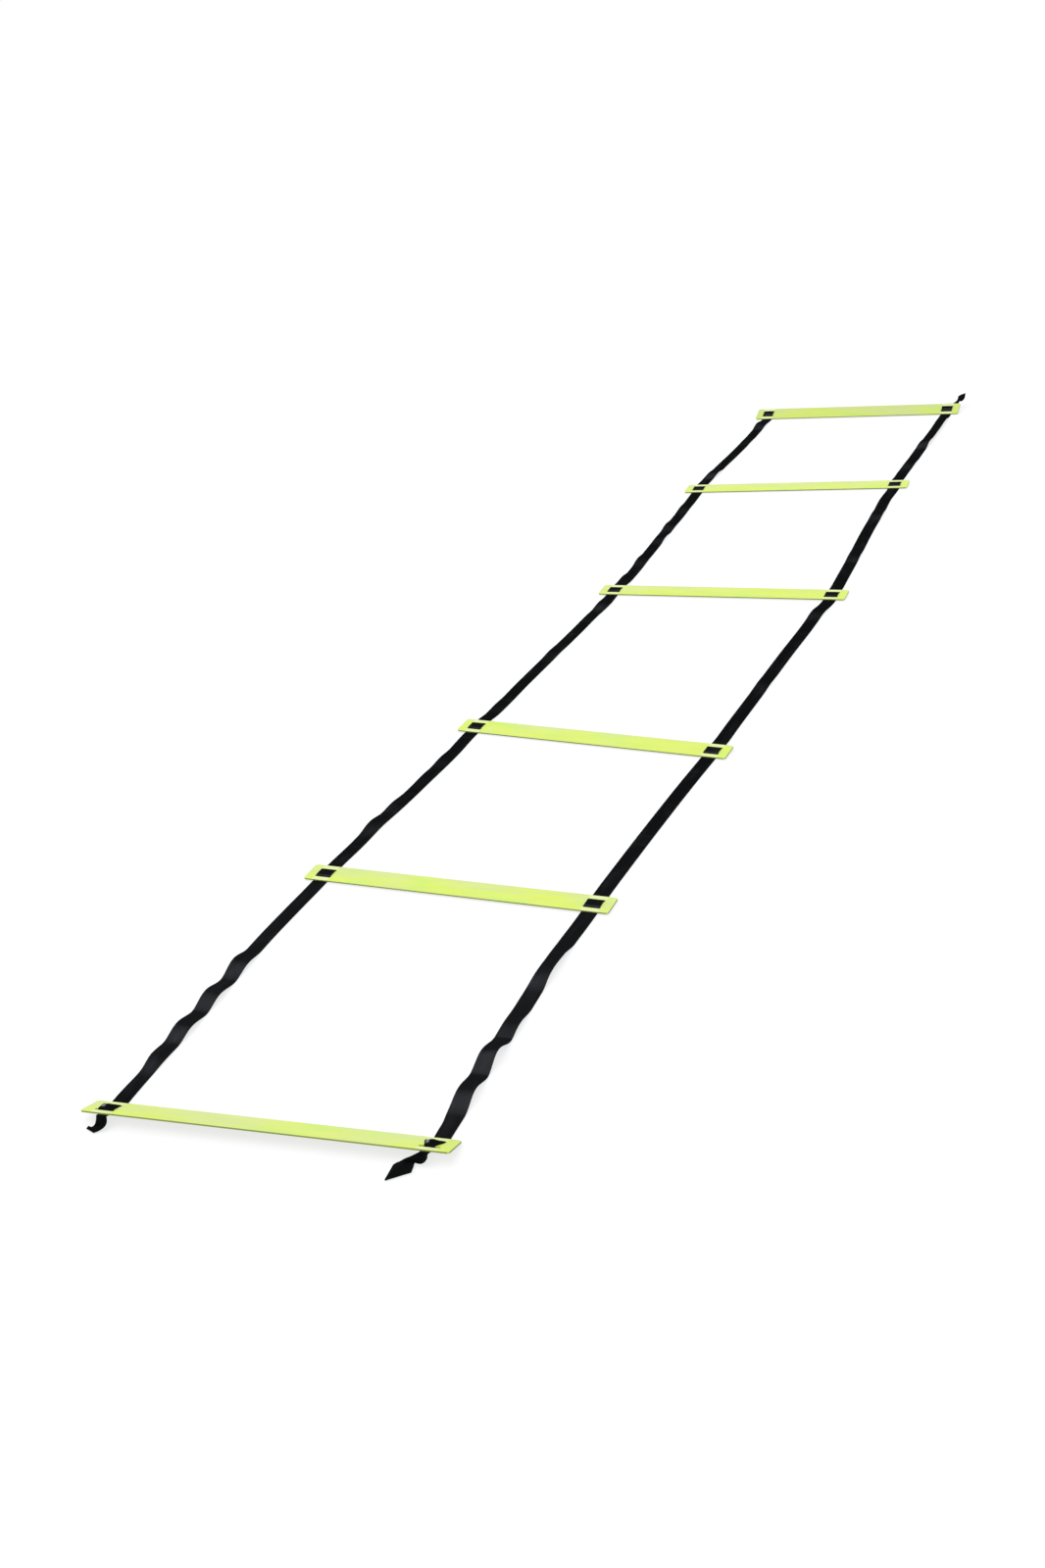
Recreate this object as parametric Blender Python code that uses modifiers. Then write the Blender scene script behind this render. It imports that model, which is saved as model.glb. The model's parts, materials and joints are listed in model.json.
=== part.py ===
"""Agility ladder: six flat slats threaded on two webbing straps, laid out on the floor.

X runs along the slats, Y along the straps from the near end to the far end, Z is up.
The origin is on the floor, in the middle of the ladder's footprint.
"""

import math

import bmesh
import bpy
import numpy as np
from mathutils import Matrix, Vector

# Slats
RUNG_LENGTH = 0.500
RUNG_WIDTH = 0.040
RUNG_THICKNESS = 0.002
RUNG_CORNER = 0.004
RUNG_CORNER_STEPS = 5
RUNG_EDGE = 0.0004
RUNG_EDGE_ANGLE = 60.0
SLOT_INSET = 0.0155
SLOT_CORNER = 0.001
SLOT_CORNER_STEPS = 2
BAR_WIDTH = 0.013
SLOT_ROOM = 0.0015
SIDE_ROOM = 0.001
MERGE_DISTANCE = 0.00001

# Webbing straps
WEBBING_WIDTH = 0.025
WEBBING_THICKNESS = 0.0015
CLEARANCE = 0.0003
BEND_RADIUS = 0.0015
BEND_STEPS = 3
SLOT_SLOPE = 68.0
LANDING = 0.040
TURN_IN = 0.025
WAVE_HEIGHT = 0.010
WAVE_LENGTH = 0.080
STATION_STEP = 0.010

# Layout on the floor: distances between slats, their side steps, turns and tips
BAY_LENGTH = 0.541
BAY_LENGTH_shares = (1.000, 0.869, 1.128, 1.083, 0.9455)
SIDE_STEP_shares = (-0.008, -0.039, -0.002, 0.039, -0.013, -0.008)
YAW_DEGREES = (5.9, 0.4, -3.4, 0.8, 3.5, 1.5)
TILT_DEGREES = (-21.1, -0.5, 2.3, 2.7, 3.8, 18.4)

# Joints: how far a slat slides on its straps, and the fold axes over or under the floor line
RUNG_TRAVEL = 0.075
TRAVEL_MARGIN = 0.010
FOLD_HEIGHTS = (0.018, -0.006, 0.019, -0.006, 0.020)

# Side drift of each strap between two slats: (share of the stretch, share of the webbing's width to the right)
DRIFT_shares = {
    ("left", 0): ((0.30, -0.12), (0.50, -0.16), (0.68, -0.26), (0.85, -0.14)),
    ("right", 0): ((0.12, -0.09), (0.25, -0.20), (0.45, -0.19), (0.65, -0.25), (0.80, -0.19)),
    ("left", 1): ((0.18, -0.01), (0.30, -0.06), (0.45, 0.06), (0.60, 0.10), (0.80, 0.13)),
    ("right", 1): ((0.25, -0.10), (0.50, -0.12), (0.80, -0.08)),
    ("left", 2): ((0.08, 0.10), (0.30, 0.08), (0.50, 0.10), (0.70, 0.13), (0.80, 0.11), (0.90, 0.21)),
    ("right", 2): ((0.12, -0.03), (0.30, -0.06), (0.60, -0.12), (0.76, -0.09), (0.87, -0.11)),
    ("left", 3): ((0.08, 0.15), (0.16, 0.19), (0.30, 0.16), (0.50, 0.13), (0.70, 0.12), (0.88, 0.07)),
    ("right", 3): ((0.12, 0.00), (0.30, -0.02), (0.60, -0.13), (0.73, -0.09), (0.86, -0.14)),
    ("left", 4): ((0.12, -0.16), (0.20, -0.06), (0.28, -0.07), (0.45, 0.05), (0.70, 0.11), (0.88, 0.02)),
    ("right", 4): ((0.14, -0.11), (0.30, -0.04), (0.45, -0.04), (0.60, 0.02), (0.75, 0.06), (0.88, 0.02)),
}

# Waves of slack webbing: (share of the stretch, left edge's and right edge's share of the wave height)
WAVE_shares = {
    ("left", 0): ((0.200, 0.38, 0.10), (0.312, 0.75, 0.60), (0.440, 0.85, 0.65), (0.575, 0.85, 0.45)),
    ("right", 0): (
        (0.195, 0.65, 1.00),
        (0.335, 0.85, 1.35),
        (0.460, 0.20, 0.60),
        (0.675, 0.20, 0.85),
        (0.745, 0.10, 0.70),
    ),
    ("left", 1): ((0.310, 0.45, 0.05), (0.440, 0.30, 0.00), (0.640, 0.12, 0.00), (0.760, 0.25, 0.00)),
    ("right", 1): (),
    ("left", 2): ((0.140, 0.15, 0.02), (0.520, 0.15, 0.08), (0.890, 0.45, 0.10)),
    ("right", 2): ((0.400, 0.10, 0.15), (0.880, 0.25, 0.15)),
    ("left", 3): (
        (0.105, 0.45, 0.05),
        (0.280, 0.35, 0.05),
        (0.490, 0.05, 0.40),
        (0.615, 0.35, 0.10),
        (0.800, 0.20, 0.10),
    ),
    ("right", 3): ((0.330, 0.15, 0.20), (0.710, 0.20, 0.25)),
    ("left", 4): ((0.200, 0.30, 0.50), (0.640, 0.05, 0.10), (0.880, 0.50, 0.20)),
    ("right", 4): (
        (0.280, 0.10, 0.20),
        (0.545, 0.25, 0.75),
        (0.625, 0.00, 0.55),
        (0.705, 0.00, 0.60),
        (0.785, 0.00, 0.60),
        (0.860, 0.00, 0.50),
    ),
}

# Loose ends, as pairs of edge points (left, right): each (right, outward, up) from where the strap leaves
# its slat, in shares of the webbing's width. The last pair is the cut tip.
TAIL_shares = {
    "left_strap_near_tail": (
        ((-0.15, 0.14, -0.12), (0.48, 0.12, -0.06)),
        ((-0.18, 0.26, -0.30), (0.50, 0.24, -0.22)),
        ((-0.35, 0.20, -0.52), (0.44, 0.42, -0.34)),
        ((-0.39, 0.27, -0.55), (0.18, 0.57, -0.49)),
        ((-0.46, 0.34, -0.55), (-0.07, 0.72, -0.54)),
        ((-0.60, 0.31, -0.51), (-0.63, 0.50, -0.54)),
    ),
    "right_strap_near_tail": (
        ((-0.50, 0.10, -0.06), (0.13, 0.10, -0.04)),
        ((-0.67, 0.16, -0.14), (0.12, 0.20, -0.16)),
        ((-0.86, 0.22, -0.21), (0.00, 0.28, -0.33)),
        ((-1.02, 0.26, -0.28), (-0.25, 0.24, -0.50)),
        ((-1.20, 0.28, -0.40), (-0.42, 0.20, -0.52)),
        ((-1.34, 0.33, -0.46), (-0.54, 0.22, -0.50)),
        ((-1.47, 0.41, -0.50), (-0.52, 0.49, -0.51)),
        ((-1.55, 0.51, -0.52), (-0.49, 0.83, -0.53)),
        ((-1.57, 1.47, -0.54), (-1.53, 1.53, -0.54)),
    ),
    "right_strap_far_tail": (
        ((0.28, 0.42, -0.08), (0.90, 0.28, -0.02)),
        ((0.48, 0.62, 0.02), (0.92, 0.34, 0.08)),
        ((0.64, 0.73, 0.12), (0.96, 0.42, 0.15)),
        ((0.70, 0.96, 0.24), (1.16, 0.48, 0.17)),
        ((0.71, 1.28, 0.39), (1.31, 0.62, 0.24)),
        ((0.93, 1.46, 0.49), (1.40, 0.92, 0.38)),
        ((1.30, 1.66, 0.57), (1.36, 1.44, 0.56)),
    ),
}
TAIL_STEPS = 3

# Where a strap is drawn narrow through its first slat: (distance from the slat's middle, far side positive, as a
# share of half the slat's width, left edge's and right edge's share of the webbing's width inwards)
PINCH_shares = {
    "left": (
        (-1.00, 0.36, 0.04),
        (-0.44, 0.10, 0.00),
        (0.33, 0.00, 0.00),
        (1.50, 0.05, 0.00),
        (4.30, 0.14, 0.00),
        (6.00, 0.00, 0.00),
    ),
    "right": (
        (-1.00, 0.18, 0.32),
        (-0.44, 0.20, 0.25),
        (0.33, 0.00, 0.00),
        (1.00, 0.14, 0.00),
        (2.20, 0.12, 0.00),
        (3.60, 0.00, 0.00),
    ),
}

# How high a strap humps over the first slat's bar, as a share of the webbing's width
HUMP_shares = {"left": 0.06, "right": 0.12}

RUNGS = len(YAW_DEGREES)
SIDES = {"left": -1, "right": 1}
HALF_WIDTH = RUNG_WIDTH / 2
SLOT_WIDTH = WEBBING_THICKNESS + 2 * SLOT_ROOM
SLOT_LENGTH = WEBBING_WIDTH + 2 * SIDE_ROOM
SLOT_X = RUNG_LENGTH / 2 - SLOT_INSET - SLOT_LENGTH / 2
SLOT_Y = (BAR_WIDTH + SLOT_WIDTH) / 2
WEBBING_OFFSET = (RUNG_THICKNESS + WEBBING_THICKNESS) / 2 + CLEARANCE
FLOOR_LINE = WEBBING_THICKNESS / 2
REACH = HALF_WIDTH + RUNG_TRAVEL + TRAVEL_MARGIN


def smoothstep(share):
    """0 to 1 with level ends."""
    share = np.clip(share, 0, 1)
    return share * share * (3 - 2 * share)


def smooth_curve(places, values, at):
    """Cubic curve through the values at the places, with each slope taken from its neighbours."""
    places = np.asarray(places, float)
    values = np.asarray(values, float)
    slopes = np.gradient(values, places, axis=0)
    at = np.atleast_1d(at)
    k = np.clip(np.searchsorted(places, at) - 1, 0, len(places) - 2)
    span = places[k + 1] - places[k]
    t = (at - places[k]) / span
    shape = (-1,) + (1,) * (values.ndim - 1)
    t, span = t.reshape(shape), span.reshape(shape)
    start = values[k] * (1 + 2 * t) * (1 - t) ** 2 + span * slopes[k] * t * (1 - t) ** 2
    end = values[k + 1] * t * t * (3 - 2 * t) + span * slopes[k + 1] * t * t * (t - 1)
    return start + end


def clear_scene():
    for obj in list(bpy.data.objects):
        bpy.data.objects.remove(obj)


def new_collection(name):
    group = bpy.data.collections.new(name)
    bpy.context.scene.collection.children.link(group)
    return group


def material(name, colour, roughness):
    made = bpy.data.materials.new(name)
    made.use_nodes = True
    shader = made.node_tree.nodes["Principled BSDF"]
    shader.inputs["Base Color"].default_value = (*colour, 1)
    shader.inputs["Roughness"].default_value = roughness
    shader.inputs["Metallic"].default_value = 0
    return made


def rung_frames():
    """Each slat's place: its centre, turned by its yaw and tipped about its own length."""
    frames = []
    along = 0
    for number in range(RUNGS):
        tilt = math.radians(TILT_DEGREES[number])
        seat = WEBBING_THICKNESS + CLEARANCE + RUNG_THICKNESS / 2 * math.cos(tilt)
        height = seat + HALF_WIDTH * abs(math.sin(tilt))
        place = Vector((SIDE_STEP_shares[number] * RUNG_LENGTH, along, height))
        turn = Matrix.Rotation(math.radians(YAW_DEGREES[number]), 4, "Z")
        tip = Matrix.Rotation(tilt, 4, "X")
        frames.append(Matrix.Translation(place) @ turn @ tip)
        if number < RUNGS - 1:
            along += BAY_LENGTH * BAY_LENGTH_shares[number]
    return frames


def rounded(corners, radius, steps):
    """A flat outline's corners as arcs of that radius, each in the given steps."""
    points = [np.array(corners[0], float)]
    for before, corner, after in zip(corners, corners[1:], corners[2:]):
        corner = np.array(corner, float)
        back = np.array(before, float) - corner
        ahead = np.array(after, float) - corner
        back /= np.linalg.norm(back)
        ahead /= np.linalg.norm(ahead)
        half = math.acos(float(np.clip(back @ ahead, -1, 1))) / 2
        middle = corner + (back + ahead) / np.linalg.norm(back + ahead) * radius / math.sin(half)
        start = corner + back * radius / math.tan(half) - middle
        end = corner + ahead * radius / math.tan(half) - middle
        for share in np.linspace(0, 1, steps + 1):
            spoke = start * (1 - share) + end * share
            points.append(middle + spoke * radius / np.linalg.norm(spoke))
    points.append(np.array(corners[-1], float))
    return points


def threading():
    """The webbing's way through a slat, across it: under a rail, up a slot, over the bar and back."""
    run = WEBBING_OFFSET / math.tan(math.radians(SLOT_SLOPE))
    low, high = SLOT_Y + run, SLOT_Y - run
    corners = [(-HALF_WIDTH, -1), (-low, -1), (-high, 1), (high, 1), (low, -1), (HALF_WIDTH, -1)]
    corners = [(across, level * WEBBING_OFFSET) for across, level in corners]
    return rounded(corners, BEND_RADIUS, BEND_STEPS)


def reaches(number, side, across):
    """How far the left and the right edge lie from the webbing's middle, left negative, at distances across a
    slat: half the width, less the first slat's pinch, which runs by smoothsteps from one place to the next."""
    across = np.atleast_1d(across)
    inwards = np.zeros((len(across), 2))
    if number == 0:
        table = np.array(PINCH_shares[side])
        places, shares = table[:, 0] * HALF_WIDTH, table[:, 1:]
        inwards += shares[0]
        for place, following, step in zip(places, places[1:], np.diff(shares, axis=0)):
            inwards += step * smoothstep((across - place) / (following - place))[:, None]
    return (0.5 - inwards) * (-1, 1) * WEBBING_WIDTH


def threaded_pairs(number, frame, side):
    """The threading's two edges on one slat, from its near edge to its far edge. On the first slat a raised
    cosine from slot to slot lifts it to a hump over the bar."""
    centre = SIDES[side] * SLOT_X
    line = np.array(threading())
    if number == 0:
        hump = (1 + np.cos(math.pi * np.clip(line[:, 0] / SLOT_Y, -1, 1))) / 2
        line[:, 1] += hump * HUMP_shares[side] * WEBBING_WIDTH
    reach = reaches(number, side, line[:, 0])
    return [
        (frame @ Vector((centre + left, y, z)), frame @ Vector((centre + right, y, z)))
        for (y, z), (left, right) in zip(line, reach)
    ]


class Stretch:
    """One strap's course between two slats, by distance along the line between its slots."""

    def __init__(self, frames, side, bay):
        centre = Vector((SIDES[side] * SLOT_X, 0, 0))
        edge = Vector((0, HALF_WIDTH, 0))
        low = -WEBBING_OFFSET * Vector((0, 0, 1))
        self.side, self.bay = side, bay
        first, last = frames[bay], frames[bay + 1]
        start = np.array(first @ centre)
        end = np.array(last @ centre)
        leave = np.array(first @ (centre + edge + low))
        arrive = np.array(last @ (centre - edge + low))
        line = (end - start)[:2]
        self.length = float(np.linalg.norm(line))
        self.along = line / self.length
        self.right = np.array((self.along[1], -self.along[0]))
        self.start = start[:2]
        self.leave, self.leave_right = self.measure(leave)
        self.arrive, self.arrive_right = self.measure(arrive)
        self.leave_height, self.arrive_height = leave[2] - FLOOR_LINE, arrive[2] - FLOOR_LINE
        self.first_right = np.array(first.to_3x3() @ Vector((1, 0, 0)))[:2]
        self.last_right = np.array(last.to_3x3() @ Vector((1, 0, 0)))[:2]
        self.cut = self.fold_crossing(frames)

    def measure(self, point):
        """A floor place as distance along the line and distance to its right."""
        away = np.array(point[:2]) - self.start
        return float(away @ self.along), float(away @ self.right)

    def fold_crossing(self, frames):
        """Where the fold axis of this bay crosses the strap."""
        place, axis = fold_line(frames, self.bay)
        normal = np.array((-axis.y, axis.x))
        gap = np.array(place[:2]) - self.start
        return float(gap @ normal) / float(self.along @ normal)

    def drift(self, at):
        """Distance of the strap's middle line to the right of the straight line."""
        places = [0, self.leave]
        values = [0, self.leave_right]
        for share, amount in DRIFT_shares[self.side, self.bay]:
            places.append(share * self.length)
            values.append(amount * WEBBING_WIDTH)
        places += [self.arrive, self.length]
        values += [self.arrive_right, 0]
        return smooth_curve(places, values, at)

    def heights(self, at):
        """Heights of the left and the right edge over the floor line."""
        leaving = self.leave_height * (1 - smoothstep((at - self.leave) / LANDING))
        arriving = self.arrive_height * (1 - smoothstep((self.arrive - at) / LANDING))
        both = np.repeat((leaving + arriving)[:, None], 2, axis=1)
        for share, left, right in WAVE_shares[self.side, self.bay]:
            phase = np.clip((at - share * self.length) / WAVE_LENGTH, -0.5, 0.5)
            bump = (1 + np.cos(2 * math.pi * phase)) / 2
            both += bump[:, None] * np.array((left, right)) * WAVE_HEIGHT
        return FLOOR_LINE + both

    def pairs(self, start, end):
        """Edge points from one distance to the other."""
        steps = max(2, math.ceil((end - start) / STATION_STEP) + 1)
        at = np.linspace(start, end, steps)
        middle = self.start + at[:, None] * self.along + self.drift(at)[:, None] * self.right
        near = 1 - smoothstep((at - self.leave) / TURN_IN)[:, None]
        far = 1 - smoothstep((self.arrive - at) / TURN_IN)[:, None]
        right = near * self.first_right + far * self.last_right + (1 - near - far) * self.right
        right /= np.linalg.norm(right, axis=1)[:, None]
        reach = reaches(self.bay, self.side, at - self.leave + HALF_WIDTH)
        edges = middle[:, None] + right[:, None] * reach[..., None]
        edges = np.concatenate((edges, self.heights(at)[..., None]), axis=2)
        return [(Vector(a), Vector(b)) for a, b in edges]


def fold_line(frames, bay):
    """A point and the direction of a bay's fold axis: midway between its slats, along their mean direction."""
    place = (frames[bay].translation + frames[bay + 1].translation) / 2
    yaw = math.radians((YAW_DEGREES[bay] + YAW_DEGREES[bay + 1]) / 2)
    return Vector((place.x, place.y, FOLD_HEIGHTS[bay])), Vector((math.cos(yaw), math.sin(yaw), 0))


def tail_pairs(name, number, frame, side, outward):
    """A loose end's edge points: straight on from under its slat, a smooth curve through the table's pairs, and
    straight cut edges from the last but one to the tip."""
    centre = SIDES[side] * SLOT_X
    leave = frame @ Vector((centre, outward * HALF_WIDTH, -WEBBING_OFFSET))
    turn = Matrix.Rotation(frame.to_euler().z, 3, "Z")
    stops = []
    for lead in (CLEARANCE, CLEARANCE + WEBBING_THICKNESS):
        across = outward * (HALF_WIDTH + lead)
        for reach in reaches(number, side, outward * HALF_WIDTH)[0]:
            stops.append(frame @ Vector((centre + reach, across, -WEBBING_OFFSET)))
    for pair in TAIL_shares[name]:
        for right, out, up in pair:
            stops.append(leave + turn @ Vector((right, outward * out, up)) * WEBBING_WIDTH)
    stops = np.array(stops).reshape(-1, 6)
    places = np.cumsum(np.append(0, np.linalg.norm(np.diff(stops, axis=0), axis=1)))
    steps = np.arange(TAIL_STEPS * (len(places) - 3) + 1) / TAIL_STEPS + 1
    at = np.append(0, np.interp(steps, np.arange(len(places)), places))
    curve = smooth_curve(places[:-1], stops[:-1], at)
    course = np.vstack((curve, stops[-1:])).reshape(-1, 2, 3)
    pairs = [(Vector(a), Vector(b)) for a, b in course]
    return pairs if outward > 0 else pairs[::-1]


def webbing_pieces(frames):
    """Every piece of both straps: its edge points, and the joint that carries it."""
    pieces = {}
    gap = CLEARANCE / 2
    for side in SIDES:
        stretches = [Stretch(frames, side, bay) for bay in range(RUNGS - 1)]
        for number, frame in enumerate(frames):
            pairs = threaded_pairs(number, frame, side)
            if number > 0:
                before = stretches[number - 1]
                pairs = before.pairs(before.length - REACH + gap, before.arrive)[:-1] + pairs
            if number < RUNGS - 1:
                after = stretches[number]
                pairs = pairs + after.pairs(after.leave, REACH - gap)[1:]
            pieces[f"{side}_strap_over_rung_{number + 1}"] = (pairs, f"slide_{number + 1}")
        for stretch in stretches:
            bay = stretch.bay + 1
            near = stretch.pairs(REACH + gap, stretch.cut - gap)
            far = stretch.pairs(stretch.cut + gap, stretch.length - REACH - gap)
            pieces[f"{side}_strap_bay_{bay}_near"] = (near, f"webbing_{bay}")
            pieces[f"{side}_strap_bay_{bay}_far"] = (far, f"webbing_{bay + 1}")
    for side, outward, number in (("left", -1, 1), ("right", -1, 1), ("right", 1, RUNGS)):
        end = "near" if outward < 0 else "far"
        name = f"{side}_strap_{end}_tail"
        pairs = tail_pairs(name, number - 1, frames[number - 1], side, outward)
        pieces[name] = (pairs, f"webbing_{number}")
    return pieces


def footprint_middle(frames, pieces):
    """The middle of the whole ladder's bounding box, on the floor."""
    points = [point for pairs, _ in pieces.values() for pair in pairs for point in pair]
    for frame in frames:
        for x in (-1, 1):
            for y in (-1, 1):
                points.append(frame @ Vector((x * RUNG_LENGTH / 2, y * HALF_WIDTH, 0)))
    points = np.array(points)
    middle = (points.min(axis=0) + points.max(axis=0)) / 2
    return Vector((middle[0], middle[1], 0))


def pivots(frames, group):
    """Empties on the joints: the straps' fold axes in a chain, and each slat's slide on its strap piece."""
    made = {}

    def pivot(name, place, parent):
        empty = bpy.data.objects.new(name, None)
        group.objects.link(empty)
        empty.parent = made[parent][0] if parent else None
        empty.location = place - (made[parent][1] if parent else Vector())
        made[name] = (empty, place)

    pivot("webbing_1", Vector(), None)
    for bay in range(RUNGS - 1):
        place, _ = fold_line(frames, bay)
        pivot(f"webbing_{bay + 2}", place, f"webbing_{bay + 1}")
    for number, frame in enumerate(frames):
        pivot(f"slide_{number + 1}", frame.translation, f"webbing_{number + 1}")
    return made


def ribbon(name, pairs, group, finish, pivot):
    """One piece of webbing: a grid one face wide, bent along its edge points and made thick evenly on both sides."""
    empty, place = pivot
    steps = len(pairs) - 1
    strip = bmesh.new()
    bmesh.ops.create_grid(strip, x_segments=1, y_segments=steps, size=0.5)
    for vertex in strip.verts:
        pair = pairs[round((vertex.co.y + 0.5) * steps)]
        vertex.co = pair[0 if vertex.co.x < 0 else 1] - place
    mesh = bpy.data.meshes.new(name)
    strip.to_mesh(mesh)
    strip.free()
    mesh.materials.append(finish)
    obj = bpy.data.objects.new(name, mesh)
    group.objects.link(obj)
    obj.parent = empty
    wall = obj.modifiers.new("thickness", "SOLIDIFY")
    wall.thickness = WEBBING_THICKNESS
    wall.offset = 0
    wall.use_even_offset = True
    return obj


def closed_outline(curve, centre, size, radius, steps):
    """A rectangle with round corners as one closed line of a flat curve."""
    reach = Vector(size) / 2 - Vector((radius, radius))
    corners = ((1, 1, 0), (-1, 1, 90), (-1, -1, 180), (1, -1, 270))
    points = []
    for x, y, start in corners:
        for step in range(steps + 1):
            angle = math.radians(start + 90 * step / steps)
            points.append(
                (
                    centre[0] + x * reach.x + radius * math.cos(angle),
                    centre[1] + y * reach.y + radius * math.sin(angle),
                )
            )
    line = curve.splines.new("POLY")
    line.points.add(len(points) - 1)
    for point, (x, y) in zip(line.points, points):
        point.co = (x, y, 0, 1)
    line.use_cyclic_u = True


def rung(number, frame, group, finish, pivot):
    """A slat: a rounded strip with two slots and the bar between them near each end."""
    empty, place = pivot
    name = f"rung_{number}"
    curve = bpy.data.curves.new(name, "CURVE")
    curve.dimensions = "2D"
    curve.fill_mode = "BOTH"
    curve.extrude = RUNG_THICKNESS / 2
    closed_outline(curve, (0, 0), (RUNG_LENGTH, RUNG_WIDTH), RUNG_CORNER, RUNG_CORNER_STEPS)
    for side in SIDES.values():
        for way in (-1, 1):
            centre = (side * SLOT_X, way * SLOT_Y)
            size = (SLOT_LENGTH, SLOT_WIDTH)
            closed_outline(curve, centre, size, SLOT_CORNER, SLOT_CORNER_STEPS)
    curve.materials.append(finish)
    obj = bpy.data.objects.new(name, curve)
    group.objects.link(obj)
    obj.parent = empty
    obj.location = frame.translation - place
    obj.rotation_euler = frame.to_euler()
    weld = obj.modifiers.new("weld", "WELD")
    weld.merge_threshold = MERGE_DISTANCE
    edge = obj.modifiers.new("edges", "BEVEL")
    edge.width = RUNG_EDGE
    edge.segments = 1
    edge.limit_method = "ANGLE"
    edge.angle_limit = math.radians(RUNG_EDGE_ANGLE)
    return obj


def main():
    clear_scene()
    group = new_collection("agility_ladder")
    plastic = material("slat_plastic", (0.62, 0.84, 0.11), 0.42)
    fabric = material("black_webbing", (0.012, 0.012, 0.014), 0.85)
    frames = rung_frames()
    middle = footprint_middle(frames, webbing_pieces(frames))
    frames = [Matrix.Translation(-middle) @ frame for frame in frames]
    joints = pivots(frames, group)
    for number, frame in enumerate(frames, 1):
        rung(number, frame, group, plastic, joints[f"slide_{number}"])
    for name, (pairs, joint) in webbing_pieces(frames).items():
        ribbon(name, pairs, group, fabric, joints[joint])


main()
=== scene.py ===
"""Agility ladder: six neon slats threaded on two black webbing straps, laid out on a pale floor."""

import json
import math

import bpy
import numpy as np
from bpy.props import FloatProperty, FloatVectorProperty, PointerProperty
from mathutils import Matrix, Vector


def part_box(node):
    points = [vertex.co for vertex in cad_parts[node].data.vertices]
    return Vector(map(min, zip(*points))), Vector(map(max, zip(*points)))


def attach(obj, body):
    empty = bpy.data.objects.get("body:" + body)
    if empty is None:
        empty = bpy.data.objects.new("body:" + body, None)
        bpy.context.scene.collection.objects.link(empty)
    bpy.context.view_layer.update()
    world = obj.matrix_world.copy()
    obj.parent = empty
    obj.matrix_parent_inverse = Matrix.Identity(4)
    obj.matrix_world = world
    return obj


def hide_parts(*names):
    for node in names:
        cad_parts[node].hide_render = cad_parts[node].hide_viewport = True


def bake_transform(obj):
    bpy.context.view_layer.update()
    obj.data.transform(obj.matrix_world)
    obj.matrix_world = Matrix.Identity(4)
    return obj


bl_info = {
    "name": "Agility ladder",
    "version": (1, 0, 0),
    "blender": (4, 5, 0),
    "location": "3D View > Sidebar > Ladder",
    "description": "Makes the slats and webbing straps of an agility ladder laid out on the floor",
    "category": "Add Mesh",
}

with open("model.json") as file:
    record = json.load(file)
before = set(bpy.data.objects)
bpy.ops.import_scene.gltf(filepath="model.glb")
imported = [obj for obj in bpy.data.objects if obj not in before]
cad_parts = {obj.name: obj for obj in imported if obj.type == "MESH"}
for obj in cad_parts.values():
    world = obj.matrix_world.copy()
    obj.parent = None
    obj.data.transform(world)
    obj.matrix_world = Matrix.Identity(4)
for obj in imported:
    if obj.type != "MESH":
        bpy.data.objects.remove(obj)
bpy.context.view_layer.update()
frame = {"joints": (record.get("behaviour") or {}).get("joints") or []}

# Slats, in metres, as the CAD model has them
SLAT_LENGTH = 0.500
SLAT_WIDTH = 0.040
SLAT_THICKNESS = 0.002
SLAT_CORNER = 0.004
SLOT_INSET = 0.0155
SLOT_CORNER = 0.001
BAR_WIDTH = 0.013
SLOT_ROOM = 0.0015
SIDE_ROOM = 0.001
CLEARANCE = 0.0003

# Webbing straps: their size, and their way through a slat and along the floor
WEBBING_WIDTH = 0.025
WEBBING_THICKNESS = 0.0015
BEND_RADIUS = 0.0015
SLOT_SLOPE = 68.0
LANDING = 0.040
TURN_IN = 0.025
WAVE_LENGTH = 0.080

# Turn of each slat on the floor, and its tip about its own length
YAW_DEGREES = (5.9, 0.4, -3.4, 0.8, 3.5, 1.5)
TILT_DEGREES = (-21.1, -0.5, 2.3, 2.7, 3.8, 18.4)

# Side drift of each strap between two slats: (share of the stretch, drift to the right as a share of the
# webbing's width)
DRIFT_SHARES = {
    ("left", 0): ((0.30, -0.12), (0.50, -0.16), (0.68, -0.26), (0.85, -0.14)),
    ("right", 0): ((0.12, -0.09), (0.25, -0.20), (0.45, -0.19), (0.65, -0.25), (0.80, -0.19)),
    ("left", 1): ((0.18, -0.01), (0.30, -0.06), (0.45, 0.06), (0.60, 0.10), (0.80, 0.13)),
    ("right", 1): ((0.25, -0.10), (0.50, -0.12), (0.80, -0.08)),
    ("left", 2): ((0.08, 0.10), (0.30, 0.08), (0.50, 0.10), (0.70, 0.13), (0.80, 0.11), (0.90, 0.21)),
    ("right", 2): ((0.12, -0.03), (0.30, -0.06), (0.60, -0.12), (0.76, -0.09), (0.87, -0.11)),
    ("left", 3): ((0.08, 0.15), (0.16, 0.19), (0.30, 0.16), (0.50, 0.13), (0.70, 0.12), (0.88, 0.07)),
    ("right", 3): ((0.12, 0.00), (0.30, -0.02), (0.60, -0.13), (0.73, -0.09), (0.86, -0.14)),
    ("left", 4): ((0.12, -0.16), (0.20, -0.06), (0.28, -0.07), (0.45, 0.05), (0.70, 0.11), (0.88, 0.02)),
    ("right", 4): ((0.14, -0.11), (0.30, -0.04), (0.45, -0.04), (0.60, 0.02), (0.75, 0.06), (0.88, 0.02)),
}

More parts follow.
